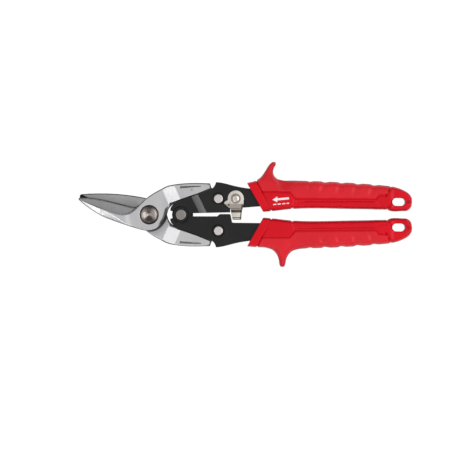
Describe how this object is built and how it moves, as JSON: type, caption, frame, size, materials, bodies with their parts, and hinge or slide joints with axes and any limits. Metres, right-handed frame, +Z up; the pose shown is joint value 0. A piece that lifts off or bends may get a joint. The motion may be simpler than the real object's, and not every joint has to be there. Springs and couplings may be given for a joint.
{
  "type": "aviation snips",
  "caption": "Compound-leverage hand shears for cutting sheet metal, with cranked jaws, linked channel handles, a thumb latch and moulded grips.",
  "frame": {"origin": "on the jaw pivot bolt's axis, in the plane that the snips lie on", "axes": "+X from the pivot bolt towards the grips' ends, +Y towards the upper handle, +Z up along the pivot bolt"},
  "size_m": [0.2543, 0.0804, 0.017],
  "materials": {
    "jaw_steel": "satin forged steel with ground faces",
    "pivot_steel": "satin nickel",
    "handle_sheet": "satin black",
    "link_rivet_steel": "satin nickel",
    "handle_rivet_steel": "dark satin steel",
    "spring_steel": "satin",
    "latch_nickel": "satin nickel",
    "grip_core": "fine matt moulding texture",
    "grip_pad": "soft matt overmoulding"
  },
  "bodies": {
    "front_jaw": {"front_jaw": "jaw_steel", "pivot_bolt": "pivot_steel", "pivot_washer": "pivot_steel", "pivot_spring_washer": "pivot_steel", "pivot_nut": "pivot_steel"},
    "rear_jaw": {"rear_jaw": "jaw_steel"},
    "upper_handle": {"upper_handle_channel": "handle_sheet", "upper_link_rivet": "link_rivet_steel", "handle_pivot_rivet": "handle_rivet_steel", "spring_sleeve": "spring_steel", "torsion_spring": "spring_steel", "latch_washer": "latch_nickel", "latch_rivet": "latch_nickel", "latch_backing_washer": "latch_nickel", "upper_grip": "grip_core", "upper_grip_pad": "grip_pad"},
    "lower_handle": {"lower_handle_channel": "handle_sheet", "lower_link_rivet": "link_rivet_steel", "lower_grip": "grip_core", "lower_grip_pad": "grip_pad"},
    "latch": {"latch_plate": "latch_nickel"}
  },
  "joints": [
    {"name": "handle_pivot", "type": "hinge", "parent": "upper_handle", "child": "lower_handle", "pos_m": [0.0241, 0, 0.0085], "axis": [0, 0, -1], "range_deg": [0, 41], "stiffness_Nm_per_rad": 0.5, "springref_deg": 80.21, "deforming": ["torsion_spring"]},
    {"name": "upper_jaw_pivot", "type": "hinge", "parent": "front_jaw", "child": "upper_handle", "pos_m": [0.0526, 0.0122, 0.0085], "axis": [0, 0, 1], "range_deg": [0, 10.1]},
    {"name": "jaw_pivot", "type": "hinge", "parent": "front_jaw", "child": "rear_jaw", "pos_m": [0, 0, 0.0085], "axis": [0, 0, -1], "range_deg": [0, 21]},
    {"name": "latch_pivot", "type": "hinge", "parent": "upper_handle", "child": "latch", "pos_m": [0.0658, 0.0123, 0.0085], "axis": [0, 0, 1], "range_deg": [0, 12]}
  ],
  "couplings": [
    {"joint": "upper_jaw_pivot", "follows": "handle_pivot", "ratio": 0.2445},
    {"joint": "jaw_pivot", "follows": "handle_pivot", "ratio": 0.511}
  ]
}
